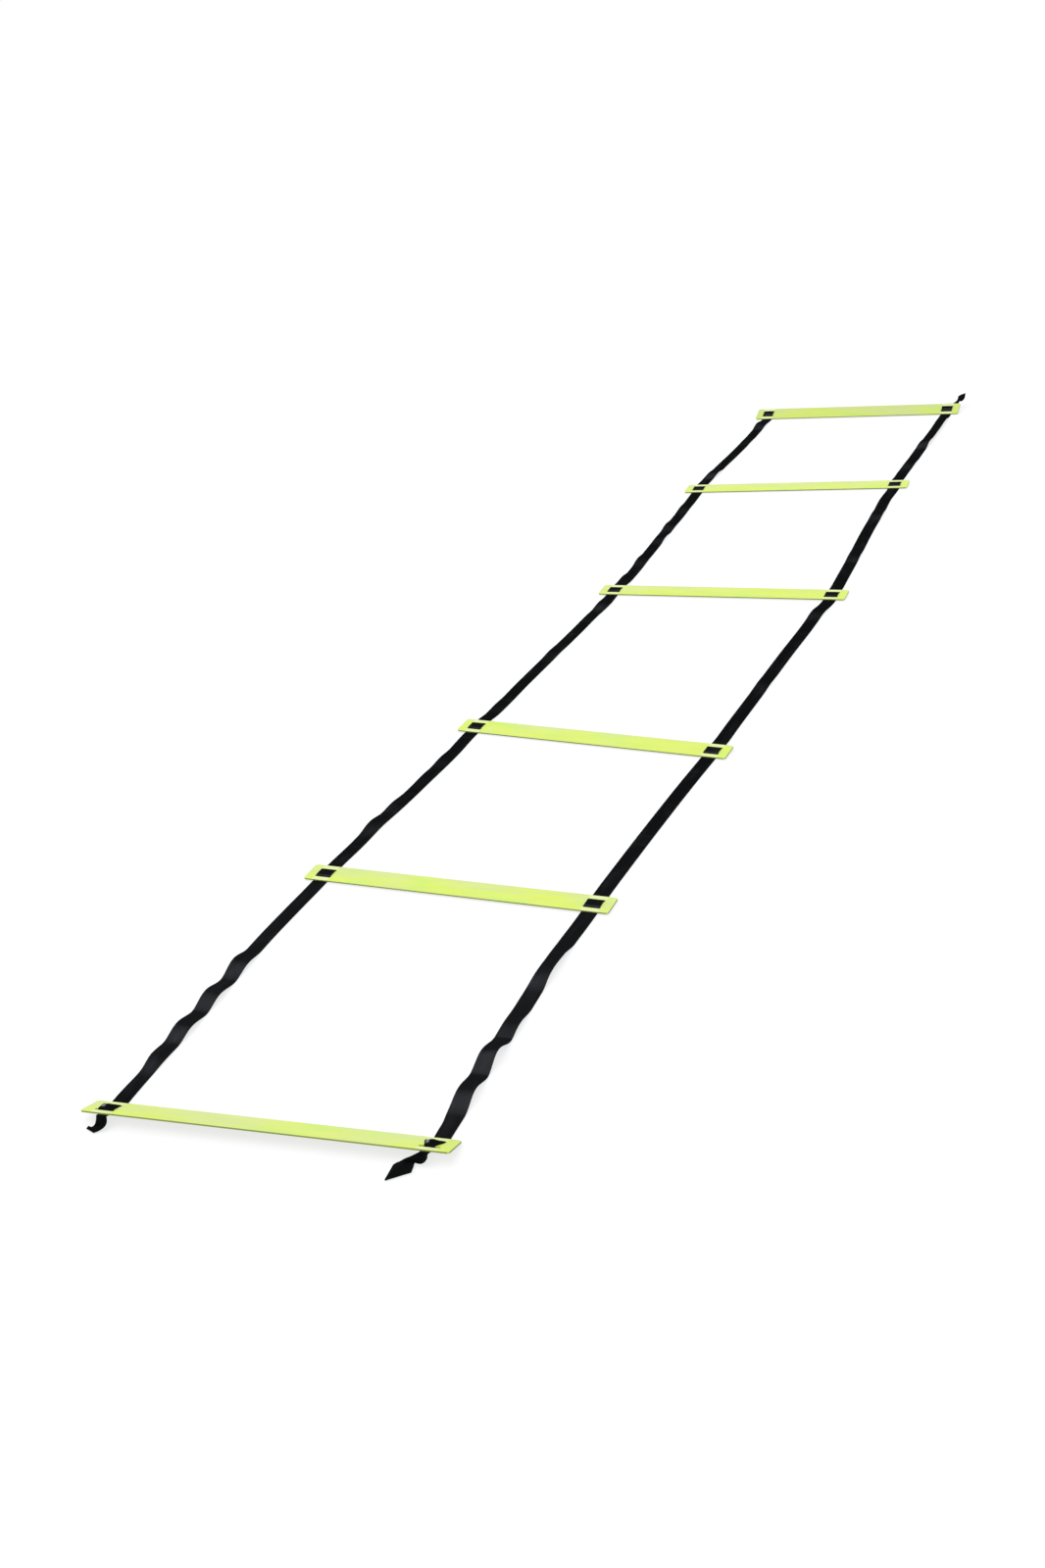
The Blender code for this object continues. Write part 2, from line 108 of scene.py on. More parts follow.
# Waves of slack webbing: (share of the stretch, left edge's and right edge's share of the wave height)
WAVE_SHARES = {
    ("left", 0): ((0.200, 0.38, 0.10), (0.312, 0.75, 0.60), (0.440, 0.85, 0.65), (0.575, 0.85, 0.45)),
    ("right", 0): (
        (0.195, 0.65, 1.00),
        (0.335, 0.85, 1.35),
        (0.460, 0.20, 0.60),
        (0.675, 0.20, 0.85),
        (0.745, 0.10, 0.70),
    ),
    ("left", 1): ((0.310, 0.45, 0.05), (0.440, 0.30, 0.00), (0.640, 0.12, 0.00), (0.760, 0.25, 0.00)),
    ("right", 1): (),
    ("left", 2): ((0.140, 0.15, 0.02), (0.520, 0.15, 0.08), (0.890, 0.45, 0.10)),
    ("right", 2): ((0.400, 0.10, 0.15), (0.880, 0.25, 0.15)),
    ("left", 3): (
        (0.105, 0.45, 0.05),
        (0.280, 0.35, 0.05),
        (0.490, 0.05, 0.40),
        (0.615, 0.35, 0.10),
        (0.800, 0.20, 0.10),
    ),
    ("right", 3): ((0.330, 0.15, 0.20), (0.710, 0.20, 0.25)),
    ("left", 4): ((0.200, 0.30, 0.50), (0.640, 0.05, 0.10), (0.880, 0.50, 0.20)),
    ("right", 4): (
        (0.280, 0.10, 0.20),
        (0.545, 0.25, 0.75),
        (0.625, 0.00, 0.55),
        (0.705, 0.00, 0.60),
        (0.785, 0.00, 0.60),
        (0.860, 0.00, 0.50),
    ),
}

# Loose ends, as pairs of edge points (left, right): each (right, outward, up) from where the strap leaves
# its slat, in shares of the webbing's width. The last pair is the cut tip.
TAIL_SHARES = {
    ("left", "near"): (
        ((-0.15, 0.14, -0.12), (0.48, 0.12, -0.06)),
        ((-0.18, 0.26, -0.30), (0.50, 0.24, -0.22)),
        ((-0.35, 0.20, -0.52), (0.44, 0.42, -0.34)),
        ((-0.39, 0.27, -0.55), (0.18, 0.57, -0.49)),
        ((-0.46, 0.34, -0.55), (-0.07, 0.72, -0.54)),
        ((-0.60, 0.31, -0.51), (-0.63, 0.50, -0.54)),
    ),
    ("right", "near"): (
        ((-0.50, 0.10, -0.06), (0.13, 0.10, -0.04)),
        ((-0.67, 0.16, -0.14), (0.12, 0.20, -0.16)),
        ((-0.86, 0.22, -0.21), (0.00, 0.28, -0.33)),
        ((-1.02, 0.26, -0.28), (-0.25, 0.24, -0.50)),
        ((-1.20, 0.28, -0.40), (-0.42, 0.20, -0.52)),
        ((-1.34, 0.33, -0.46), (-0.54, 0.22, -0.50)),
        ((-1.47, 0.41, -0.50), (-0.52, 0.49, -0.51)),
        ((-1.55, 0.51, -0.52), (-0.49, 0.83, -0.53)),
        ((-1.57, 1.47, -0.54), (-1.53, 1.53, -0.54)),
    ),
    ("right", "far"): (
        ((0.28, 0.42, -0.08), (0.90, 0.28, -0.02)),
        ((0.48, 0.62, 0.02), (0.92, 0.34, 0.08)),
        ((0.64, 0.73, 0.12), (0.96, 0.42, 0.15)),
        ((0.70, 0.96, 0.24), (1.16, 0.48, 0.17)),
        ((0.71, 1.28, 0.39), (1.31, 0.62, 0.24)),
        ((0.93, 1.46, 0.49), (1.40, 0.92, 0.38)),
        ((1.30, 1.66, 0.57), (1.36, 1.44, 0.56)),
    ),
}

# Where a strap is drawn narrow through its first slat: (distance from the slat's middle, far side positive,
# as a share of half the slat's width, left edge's and right edge's share of the webbing's width inwards)
PINCH_SHARES = {
    "left": (
        (-1.00, 0.36, 0.04),
        (-0.44, 0.10, 0.00),
        (0.33, 0.00, 0.00),
        (1.50, 0.05, 0.00),
        (4.30, 0.14, 0.00),
        (6.00, 0.00, 0.00),
    ),
    "right": (
        (-1.00, 0.18, 0.32),
        (-0.44, 0.20, 0.25),
        (0.33, 0.00, 0.00),
        (1.00, 0.14, 0.00),
        (2.20, 0.12, 0.00),
        (3.60, 0.00, 0.00),
    ),
}

# How high a strap's middle humps over the first slat's bar, as a share of the webbing's width
HUMP_SHARES = {"left": 0.12, "right": 0.16}

SLATS = len(YAW_DEGREES)
SIDES = {"left": -1, "right": 1}
HALF_WIDTH = SLAT_WIDTH / 2

# Fineness of a strap's mesh: distances between its stations, and points round its section
FLOOR_STEP = 0.0025
SLAT_STEP = 0.0007
TAIL_STEP = 0.0010
BEND_STEPS = 8
FACE_POINTS = 9
SELVEDGE_POINTS = 4

# Points of a strap's line, and points of a slat, that are nearer than these are one
STATION_GAP = 0.000001
WELD_DISTANCE = 0.00001

# Fineness of a slat's mesh, how far the cells round its slots reach past them, and its rounded edges
SLOT_COLUMNS = 16
SLOT_RINGS = (0, 0.12, 0.4, 0.7, 1)
SLAT_ROWS = 10
MIDDLE_COLUMNS = 24
END_COLUMNS = 5
CELL_MARGIN = 0.004
EDGE_SEGMENTS = 3
EDGE_ANGLE = 60.0

# How far from a slat's middle a strap piece would be free of its sliding slat, and within what distance a
# loose end would be held. Points are worked out from them, but no piece is tied to a slat by them.
SLIDE_FREE = 0.140
TAIL_HELD = 0.012

# The stretch of the strap at a fold, cut as its own piece and left unbent: its length as a multiple of
# the axis's height over the strap, the share of it before the axis, which is small so that a bend would
# stay above the floor, and how much further its piece goes at each end
FOLD_LENGTH = 2.8
FOLD_LEAD = 0.25
FOLD_MARGIN = 0.002

# Camera, solved from the slats in the photograph: its place and reach in metres, its angles in radians, and
# its lens and sensor in millimetres
CAMERA_PLACE = (1.11544, -2.57272, 1.2604)
CAMERA_TURN = math.radians(29.568)
CAMERA_PITCH = 0.48872
CAMERA_ROLL = 0.17450
CAMERA_LENS = 38.25
SENSOR_WIDTH = 36.0
CAMERA_REACH = 200.0

# Floor and light. The floor glows only where it is seen directly.
WHITE = (1, 1, 1, 1)
FLOOR_DROP = 0.0003
FLOOR_SIZE = 60.0
FLOOR_GLOW = 0.74
WORLD_LIGHT = 0.70
WORLD_TINT = (0.97, 0.985, 1.0, 1)
KEY_STRENGTH = 1.2
KEY_SPREAD = 70.0
KEY_TURN = (-4.0, -14.0, 0.0)

# Step between two slats' places, and two straps' places, in their UV maps
SLAT_PITCH = 0.1
STRAP_PITCH = 5.0

# Marks on the plastic, each with the distance where it starts to show and where it is full: the painted
# shade on the cut edge, in from a slat's sides and from its ends, and the painted highlight on the rails
# beside a slot, from the slot's middle along the slat and from the slot's side outwards. The far slat has
# a painted shade, darker by its share.
SIDE_FADE = (0.0005, 0.0001)
END_FADE = (0.0006, 0.0001)
RAIL_HIGHLIGHT_ALONG = (0.0155, 0.0115)
RAIL_HIGHLIGHT_OUT = (-0.0005, 0.0012)
FAR_SLAT_SHADE = 0.13

# Marks on the webbing, with such distances: the selvedge, in from a strap's sides, and the greyer near
# stretch's two ends, along the strap. Also the slope at which the painted sheen is full, and where the
# painted glint lies on a humped strap, as a share of its width.
SELVEDGE_FADE = (0.0016, 0.0002)
NEAR_GREY_STARTS = (0.06, 0.14)
NEAR_GREY_ENDS = (1.0, 0.3)
SHEEN_SLOPE = 0.28
GLINT_PLACE = 0.21


def metres(name, description, default, low, high):
    """A length that the panel shows."""
    return FloatProperty(
        name=name, description=description, default=default, min=low, max=high, unit="LENGTH"
    )


def colour(name, description, default):
    """A colour that the panel shows."""
    return FloatVectorProperty(
        name=name, description=description, default=default, min=0.0, max=1.0, subtype="COLOR"
    )


class LadderSizes(bpy.types.PropertyGroup):
    """Sizes of the webbing and the slats' edges."""

    webbing_width: metres("Webbing width", "Width of the straps", WEBBING_WIDTH, 0.020, 0.027)
    webbing_thickness: metres(
        "Webbing thickness", "Thickness of the straps", WEBBING_THICKNESS, 0.0008, 0.0018
    )
    wave_height: metres("Wave height", "Height of the slack waves in the straps", 0.010, 0.0, 0.014)
    slat_edge: metres("Slat edge", "Radius of the slats' rounded edges", 0.0009, 0.0001, 0.0012)
    yarn_width: metres("Yarn width", "Width of one yarn of the weave", 0.00125, 0.0005, 0.003)
    yarn_length: metres("Yarn length", "Length of one yarn's float along the strap", 0.0021, 0.001, 0.006)


class LadderColours(bpy.types.PropertyGroup):
    """Colours of the plastic, the webbing and the floor."""

    plastic: colour("Plastic", "Neon yellow-green of the slats", (0.715, 0.860, 0.125))
    # Colour of the painted shade on the slats' cut edges
    plastic_edge_shade: colour("Plastic edge", "Darker colour of the slats' cut edges", (0.28, 0.35, 0.05))
    plastic_green: colour("Greener plastic", "Greener zones of the slats", (0.600, 0.870, 0.130))
    # Colour of the hazed zones, and of the painted sheen towards the slats' far edges
    plastic_haze_and_sheen: colour("Hazy plastic", "Greyer, hazed zones of the slats", (0.670, 0.770, 0.330))
    # Paler colour of the painted highlight on the rails beside the slots, and of the scuffs
    plastic_highlight_and_scuff: colour(
        "Pressed plastic", "Paler colour where a strap bears on the plastic", (0.80, 0.88, 0.42)
    )
    yarn: colour("Yarn", "Black of the webbing's yarn", (0.0056, 0.0060, 0.0062))
    # Greyer colour of worn or dust-covered webbing, and of the painted sheen where it rises
    yarn_worn_and_sheen: colour(
        "Worn yarn", "Greyer colour where the webbing is rubbed or dusty", (0.036, 0.038, 0.043)
    )
    yarn_shiny: colour(
        "Shiny yarn",
        "Colour of the glint where the webbing humps over the first slat's bar",
        (0.30, 0.31, 0.33),
    )
    floor: colour("Floor", "Pale floor", (0.28, 0.28, 0.28))


# Shapes


def smoothstep(share):
    """0 to 1 with level ends: 3 s squared less 2 s cubed."""
    share = np.clip(share, 0, 1)
    return share * share * (3 - 2 * share)


def unit(vectors):
    """Each vector divided by its length."""
    return vectors / np.linalg.norm(vectors, axis=-1, keepdims=True)


def smooth_curve(places, values, at):
    """Cubic curve through the values at the places, with each slope taken from its neighbours."""
    places = np.asarray(places, float)
    values = np.asarray(values, float)
    slopes = np.gradient(values, places, axis=0)
    at = np.atleast_1d(at)
    k = np.clip(np.searchsorted(places, at) - 1, 0, len(places) - 2)
    span = places[k + 1] - places[k]
    t = (at - places[k]) / span
    shape = (-1,) + (1,) * (values.ndim - 1)
    t, span = t.reshape(shape), span.reshape(shape)
    start = values[k] * (1 + 2 * t) * (1 - t) ** 2 + span * slopes[k] * t * (1 - t) ** 2
    end = values[k + 1] * t * t * (3 - 2 * t) + span * slopes[k + 1] * t * t * (t - 1)
    return start + end


def turn_z(angle):
    """Turn about the vertical."""
    return np.array(Matrix.Rotation(angle, 3, "Z"))


def joint(name):
    """One joint of the CAD model."""
    return next(each for each in frame["joints"] if each["name"] == name)


class Slat:
    """One slat's place: the middle of its CAD box, turned by its yaw and tipped about its own length."""

    def __init__(self, number):
        low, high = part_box(f"rung_{number}")
        self.number = number
        self.centre = (np.array(low) + np.array(high)) / 2
        self.yaw = math.radians(YAW_DEGREES[number - 1])
        tip = np.array(Matrix.Rotation(math.radians(TILT_DEGREES[number - 1]), 3, "X"))
        self.turn = turn_z(self.yaw) @ tip
        self.slide = np.array(joint(f"slide_{number}")["axis"], float)

    def place(self, points):
        """Points of the slat's own frame put in the ladder's."""
        return np.asarray(points, float) @ self.turn.T + self.centre


def slot_sizes(thickness, width):
    """Slot width, slot length, and its middle's distance along and across the slat."""
    slot_width = thickness + 2 * SLOT_ROOM
    slot_length = width + 2 * SIDE_ROOM
    along = SLAT_LENGTH / 2 - SLOT_INSET - slot_length / 2
    return slot_width, slot_length, along, (BAR_WIDTH + slot_width) / 2


SLOT_WIDTH, SLOT_LENGTH, SLOT_X, SLOT_Y = slot_sizes(WEBBING_THICKNESS, WEBBING_WIDTH)
CELL_NEAR = SLOT_X - SLOT_LENGTH / 2 - CELL_MARGIN
CELL_FAR = SLOT_X + SLOT_LENGTH / 2 + CELL_MARGIN


def rounded(corners, radius, steps):
    """A flat line whose corners are arcs: each arc's middle lies on the corner's bisector, at the radius
    over the sine of half the corner's angle, and its spokes turn evenly from one straight to the next."""
    corners = np.asarray(corners, float)
    corner = corners[1:-1]
    back = unit(corners[:-2] - corner)
    ahead = unit(corners[2:] - corner)
    half = np.arccos(np.clip((back * ahead).sum(axis=1), -1, 1))[:, None] / 2
    middle = corner + unit(back + ahead) * radius / np.sin(half)
    start = corner + back * radius / np.tan(half) - middle
    end = corner + ahead * radius / np.tan(half) - middle
    share = np.linspace(0, 1, steps + 1)[None, :, None]
    spokes = unit(start[:, None] * (1 - share) + end[:, None] * share) * radius
    arcs = (middle[:, None] + spokes).reshape(-1, 2)
    return np.vstack((corners[:1], arcs, corners[-1:]))


def finer(points, step):
    """A line with points added so that none are further apart than the step."""
    places = np.append(0, np.cumsum(np.linalg.norm(np.diff(points, axis=0), axis=1)))
    even = np.linspace(0, places[-1], math.ceil(places[-1] / step) + 1)
    at = np.unique(np.round(np.concatenate((places, even)), 7))
    return np.column_stack([np.interp(at, places, column) for column in points.T])


def threading(sizes):
    """The webbing's way through a slat, across it: under a rail, up a slot, over the bar and back."""
    offset = (SLAT_THICKNESS + sizes.webbing_thickness) / 2 + CLEARANCE
    run = offset / math.tan(math.radians(SLOT_SLOPE))
    low, high = SLOT_Y + run, SLOT_Y - run
    corners = [(-HALF_WIDTH, -1), (-low, -1), (-high, 1), (high, 1), (low, -1), (HALF_WIDTH, -1)]
    corners = np.array(corners) * (1, offset)
    return finer(rounded(corners, BEND_RADIUS, BEND_STEPS), SLAT_STEP), offset


def threaded(slat, side, sizes):
    """The threading's two edges on one slat: its line, moved by the webbing's reach to each side."""
    line, _ = threading(sizes)
    edges = []
    for reach in reaches(slat, side, line[:, 0], sizes).T:
        across = SIDES[side] * SLOT_X + reach
        edges.append(slat.place(np.column_stack((across, line))))
    return np.stack(edges, axis=1)


def crown(slat, side, sizes):
    """How far the webbing's middle bulges over its edges along the threading: on the first slat a raised
    cosine from slot to slot, on the others nothing."""
    line, _ = threading(sizes)
    hump = (1 + np.cos(math.pi * np.clip(line[:, 0] / SLOT_Y, -1, 1))) / 2
    return hump * sizes.webbing_width * (HUMP_SHARES[side] if slat.number == 1 else 0)


def reaches(slat, side, across, sizes):
    """How far the left and the right edge lie from the webbing's middle, left negative, at distances across
    a slat: half the width, less the first slat's pinch, which runs by smoothsteps from place to place."""
    inwards = np.zeros((len(across), 2))
    if slat.number == 1:
        table = np.array(PINCH_SHARES[side])
        places, shares = table[:, 0] * HALF_WIDTH, table[:, 1:]
        inwards += shares[0]
        for place, following, step in zip(places, places[1:], np.diff(shares, axis=0)):
            inwards += step * smoothstep((across - place) / (following - place))[:, None]
    return (0.5 - inwards) * (-1, 1) * sizes.webbing_width


def stretch(first, last, side, bay, sizes):
    """A strap's two edges between two slats. By distance along the line between their slots, the middle
    drifts to the side on a smooth curve, and each edge lies on the floor but for the landings at the slats,
    which fall by a smoothstep, and the waves, which are raised cosines with a height for each edge."""
    _, offset = threading(sizes)
    floor_line = sizes.webbing_thickness / 2
    slot = SIDES[side] * SLOT_X
    start, end = first.place((slot, 0, 0)), last.place((slot, 0, 0))
    leave, arrive = first.place((slot, HALF_WIDTH, -offset)), last.place((slot, -HALF_WIDTH, -offset))
    length = float(np.linalg.norm((end - start)[:2]))
    along = (end - start)[:2] / length
    right = np.array((along[1], -along[0]))
    leave_at, leave_right = (leave[:2] - start[:2]) @ along, (leave[:2] - start[:2]) @ right
    arrive_at, arrive_right = (arrive[:2] - start[:2]) @ along, (arrive[:2] - start[:2]) @ right
    at = np.linspace(leave_at, arrive_at, math.ceil((arrive_at - leave_at) / FLOOR_STEP) + 1)
    drifts = DRIFT_SHARES[side, bay]
    places = [0, leave_at, *(share * length for share, _ in drifts), arrive_at, length]
    values = [0, leave_right, *(amount * sizes.webbing_width for _, amount in drifts), arrive_right, 0]
    drift = smooth_curve(places, values, at)
    middle = start[:2] + at[:, None] * along + drift[:, None] * right
    near = 1 - smoothstep((at - leave_at) / TURN_IN)[:, None]
    far = 1 - smoothstep((arrive_at - at) / TURN_IN)[:, None]
    sideways = unit(near * first.turn[:2, 0] + far * last.turn[:2, 0] + (1 - near - far) * right)
    reach = reaches(first, side, at - leave_at + HALF_WIDTH, sizes)
    leaving = (leave[2] - floor_line) * (1 - smoothstep((at - leave_at) / LANDING))
    arriving = (arrive[2] - floor_line) * (1 - smoothstep((arrive_at - at) / LANDING))
    heights = np.repeat((leaving + arriving)[:, None], 2, axis=1)
    for share, left_height, right_height in WAVE_SHARES[side, bay]:
        phase = np.clip((at - share * length) / WAVE_LENGTH, -0.5, 0.5)
        bump = (1 + np.cos(2 * math.pi * phase)) / 2
        heights += bump[:, None] * np.array((left_height, right_height)) * sizes.wave_height
    heights += floor_line
    edges = middle[:, None] + sideways[:, None] * reach[..., None]
    return np.concatenate((edges, heights[..., None]), axis=2)


def loose_end(slat, side, end, sizes):
    """A loose end's two edges, from its slat outwards: straight on from under the slat, then a smooth curve
    through the pairs of edge points, and straight cut edges from the last pair but one to the tip."""
    _, offset = threading(sizes)
    outward = -1 if end == "near" else 1
    slot = SIDES[side] * SLOT_X
    leave = slat.place((slot, outward * HALF_WIDTH, -offset))
    halves = reaches(slat, side, np.array([outward * HALF_WIDTH]), sizes)[0][:, None] * (1, 0, 0)
    stops = []
    for lead in (CLEARANCE, CLEARANCE + sizes.webbing_thickness):
        stops.append(slat.place(halves + (slot, outward * (HALF_WIDTH + lead), -offset)))
    table = np.array(TAIL_SHARES[side, end]) * (1, outward, 1) * sizes.webbing_width
    stops = np.concatenate((stops, leave + table @ turn_z(slat.yaw).T)).reshape(-1, 6)
    places = np.append(0, np.cumsum(np.linalg.norm(np.diff(stops, axis=0), axis=1)))
    at = np.linspace(0, places[-2], math.ceil(places[-2] / TAIL_STEP) + 1)
    curve = smooth_curve(places[:-1], stops[:-1], at)
    share = np.linspace(0, 1, math.ceil((places[-1] - places[-2]) / TAIL_STEP) + 1)[1:, None]
    cut = stops[-2] * (1 - share) + stops[-1] * share
    return np.concatenate((curve, cut)).reshape(-1, 2, 3)


class Course:
    """One strap from its near end to its far end. Stations, counted by the distance along its middle line,
    hold its middle, its direction across, its width, its normal, its crown as a height and as a share of
    the highest, how tightly it bends, and how steeply it rises."""

    def __init__(self, slats, side, sizes):
        parts = [loose_end(slats[0], side, "near", sizes)[::-1]]
        on_bars = []
        for bay, slat in enumerate(slats):
            line = threaded(slat, side, sizes)
            on_bars.append(sum(len(part) for part in parts) + len(line) // 2)
            parts.append(line)
            if slat is not slats[-1]:
                parts.append(stretch(slat, slats[bay + 1], side, bay, sizes)[1:-1])
        if (side, "far") in TAIL_SHARES:
            parts.append(loose_end(slats[-1], side, "far", sizes))
        edges = np.concatenate(parts)
        first_slat = slice(len(parts[0]), len(parts[0]) + len(parts[1]))
        self.crown = np.zeros(len(edges))
        self.crown[first_slat] = crown(slats[0], side, sizes)
        self.hump = self.crown / self.crown.max()
        self.middle = edges.mean(axis=1)
        self.across = edges[:, 1] - edges[:, 0]
        self.width = np.linalg.norm(self.across, axis=1)
        steps = np.linalg.norm(np.diff(self.middle, axis=0), axis=1)
        self.at = np.append(0, np.cumsum(steps))
        self.bars = self.at[on_bars]
        ahead = unit(np.gradient(self.middle, self.at, axis=0))
        self.across = unit(self.across)
        self.normal = unit(np.cross(self.across, ahead))
        turning = np.gradient(ahead, self.at, axis=0)
        self.bend = np.linalg.norm(turning, axis=1) * BEND_RADIUS
        between = (self.at > self.bars[0]) & (self.at < self.bars[-1])
        self.rise = np.where(between, ahead[:, 2], 0) / SHEEN_SLOPE

    def crossing(self, bay, place, normal, distance):
        """Where the strap crosses the line at that distance from a fold's axis, between two slats."""
        inside = (self.at > self.bars[bay]) & (self.at < self.bars[bay + 1])
        away = (self.middle[inside] - place) @ normal
        return float(np.interp(distance, away, self.at[inside]))

    def sample(self, start, end):
        """Stations from one distance to the other, both included."""
        inside = self.at[(self.at > start + STATION_GAP) & (self.at < end - STATION_GAP)]
        at = np.concatenate(([start], inside, [end]))
        fields = {}
        for name in ("middle", "across", "normal", "width", "crown", "hump", "bend", "rise"):
            values = getattr(self, name)
            columns = values.reshape(len(values), -1).T
            picked = np.column_stack([np.interp(at, self.at, column) for column in columns])
            fields[name] = picked if values.ndim > 1 else picked[:, 0]
        return at, fields


def ribbon(name, course, start, end, offset, sizes):
    """Webbing between two distances: a flat section with half-round selvedges, carried along the course.
    A point is the middle line, plus the direction across times its place in the section, plus the normal
    times its height there, to which the crown adds a cosine from edge to edge. The UV map holds the
    distances across and along the strap, in metres, the latter moved on by the offset."""
    at, fields = course.sample(start, end)
    flat = np.linspace(-1, 1, FACE_POINTS)
    arc = np.radians(np.linspace(90, -90, SELVEDGE_POINTS + 2)[1:-1])
    core = np.concatenate((flat, np.ones(len(arc)), flat[::-1], -np.ones(len(arc))))
    out = np.concatenate((0 * flat, np.cos(arc), 0 * flat, -np.cos(arc)))
    high = np.concatenate((0 * flat + 1, np.sin(arc), 0 * flat - 1, -np.sin(arc)))
    half = fields["width"][:, None] / 2
    radius = np.minimum(sizes.webbing_thickness / 2, half)
    sideways = core * (half - radius) + out * radius
    bulge = fields["crown"][:, None] * np.cos(math.pi / 2 * core)
    rise = high * radius + bulge
    points = (
        fields["middle"][:, None]
        + fields["across"][:, None] * sideways[..., None]
        + fields["normal"][:, None] * rise[..., None]
    )
    stations, ring = sideways.shape
    first = np.arange(stations - 1)[:, None] * ring + np.arange(ring)
    second = np.arange(stations - 1)[:, None] * ring + (np.arange(ring) + 1) % ring
    quads = np.stack((first, first + ring, second + ring, second), axis=-1).reshape(-1, 4)
    caps = [np.arange(ring).tolist(), (np.arange(ring)[::-1] + (stations - 1) * ring).tolist()]
    mesh = bpy.data.meshes.new(name)
    mesh.from_pydata(points.reshape(-1, 3), [], quads.tolist() + caps)
    mesh.shade_smooth()
    edge = sizes.webbing_thickness / 2
    flat_place = core * (sizes.webbing_width / 2 - edge) + out * edge + sizes.webbing_width / 2
    uv = np.stack(np.broadcast_arrays(flat_place[None], (at + offset)[:, None]), axis=-1).reshape(-1, 2)
    corners = np.empty(len(mesh.loops), int)
    mesh.loops.foreach_get("vertex_index", corners)
    mesh.uv_layers.new(name="webbing").data.foreach_set("uv", uv[corners].ravel())
    for attribute, field in (("rubbed", "bend"), ("rise", "rise"), ("hump", "hump")):
        values = np.repeat(np.clip(fields[field], 0, 1), ring).astype(np.float32)
        mesh.attributes.new(attribute, "FLOAT", "POINT").data.foreach_set("value", values)
    obj = bpy.data.objects.new(name, mesh)
    bpy.context.scene.collection.objects.link(obj)
    area = float(np.sum((fields["width"][1:] + fields["width"][:-1]) / 2 * np.diff(at)))
    return obj, float(end - start), area


def slot_cell(side, way):
    """The part of a slat round one slot, as a ring: its inner line is the slot's outline, its outer line
    the cell's rectangle, and the points between them are shares of the way. A point of the slot's rectangle
    is pulled to the corner radius from the nearest point of that rectangle shrunk by the radius."""
    inner_x = (1 - np.cos(np.linspace(0, math.pi, SLOT_COLUMNS + 1))) / 2
    inner_y = np.linspace(0, 1, SLAT_ROWS + 1)
    outer_x = np.linspace(0, 1, SLOT_COLUMNS + 1)
    outer_y = np.sin(np.linspace(0, math.pi / 2, SLAT_ROWS + 1))

    def outline(x, y, low, high):
        shares = np.concatenate(
            (
                np.column_stack((x[:-1], 0 * x[:-1])),
                np.column_stack((0 * y[:-1] + 1, y[:-1])),
                np.column_stack((x[:0:-1], 0 * x[:0:-1] + 1)),
                np.column_stack((0 * y[:0:-1], y[:0:-1])),
            )
        )
        return low + shares * (high - low)

    reach = np.array((SLOT_LENGTH, SLOT_WIDTH)) / 2
    middle = np.array((SLOT_X, SLOT_Y))
    inner = outline(inner_x, inner_y, middle - reach, middle + reach)
    nearest = np.clip(inner, middle - reach + SLOT_CORNER, middle + reach - SLOT_CORNER)
    inner = nearest + unit(inner - nearest) * SLOT_CORNER
    outer = outline(outer_x, outer_y, np.array((CELL_NEAR, 0)), np.array((CELL_FAR, HALF_WIDTH)))
    share = np.array(SLOT_RINGS)[:, None, None]
    grid = (inner * (1 - share) + outer * share) * (side, way)
    grid = np.concatenate((grid, grid[:, :1]), axis=1)
    return grid if side * way > 0 else grid[::-1]


def slat_grids():
    """A slat's flat middle surface, as grids: the long middle, the cells round the slots, and the ends,
    whose rows stop on the end line with its two corner arcs."""
    half_rows = np.sin(np.linspace(0, math.pi / 2, SLAT_ROWS + 1)) * HALF_WIDTH
    rows = np.concatenate((-half_rows[:0:-1], half_rows))
    columns = np.linspace(-CELL_NEAR, CELL_NEAR, MIDDLE_COLUMNS + 1)
    grids = [np.stack(np.meshgrid(columns, rows, indexing="ij"), axis=-1)]
    into_corner = np.clip(np.abs(rows) - (HALF_WIDTH - SLAT_CORNER), 0, SLAT_CORNER)
    end_line = SLAT_LENGTH / 2 - SLAT_CORNER + np.sqrt(SLAT_CORNER**2 - into_corner**2)
    share = np.linspace(0, 1, END_COLUMNS + 1)[:, None]
    reach = CELL_FAR + share * (end_line - CELL_FAR)
    across = np.broadcast_to(rows, reach.shape)
    for side in (-1, 1):
        end = np.stack((side * reach, across), axis=-1)
        grids.append(end if side > 0 else end[::-1])
        for way in (-1, 1):
            grids.append(slot_cell(side, way))
    return grids


def slat_mesh(name, slat):
    """The grids joined into one sheet, with their common points welded, laid in the slat's place. The UV
    map holds the distances along and across the slat, in metres, moved on by one pitch for each slat."""
    points, faces, count = [], [], 0
    for grid in slat_grids():
        rows, columns = grid.shape[:2]
        corner = (np.arange(rows - 1)[:, None] * columns + np.arange(columns - 1)).ravel() + count
        quad = np.stack((corner, corner + columns, corner + columns + 1, corner + 1), axis=-1)
        points.append(grid.reshape(-1, 2))
        faces.append(quad)
        count += rows * columns
    points, faces = np.concatenate(points), np.concatenate(faces)
    keys = np.round(points / WELD_DISTANCE).astype(int)
    _, kept, joined = np.unique(keys, axis=0, return_index=True, return_inverse=True)
    points, faces = points[kept], joined.ravel()[faces]
    placed = slat.place(np.column_stack((points, 0 * points[:, 0])))
    mesh = bpy.data.meshes.new(name)
    mesh.from_pydata(placed, [], faces.tolist())
    mesh.shade_smooth()
    corners = np.empty(len(mesh.loops), int)
    mesh.loops.foreach_get("vertex_index", corners)
    uv = points[corners] + (0, SLAT_PITCH * slat.number)
    mesh.uv_layers.new(name="slat").data.foreach_set("uv", uv.ravel())
    return mesh


# Materials


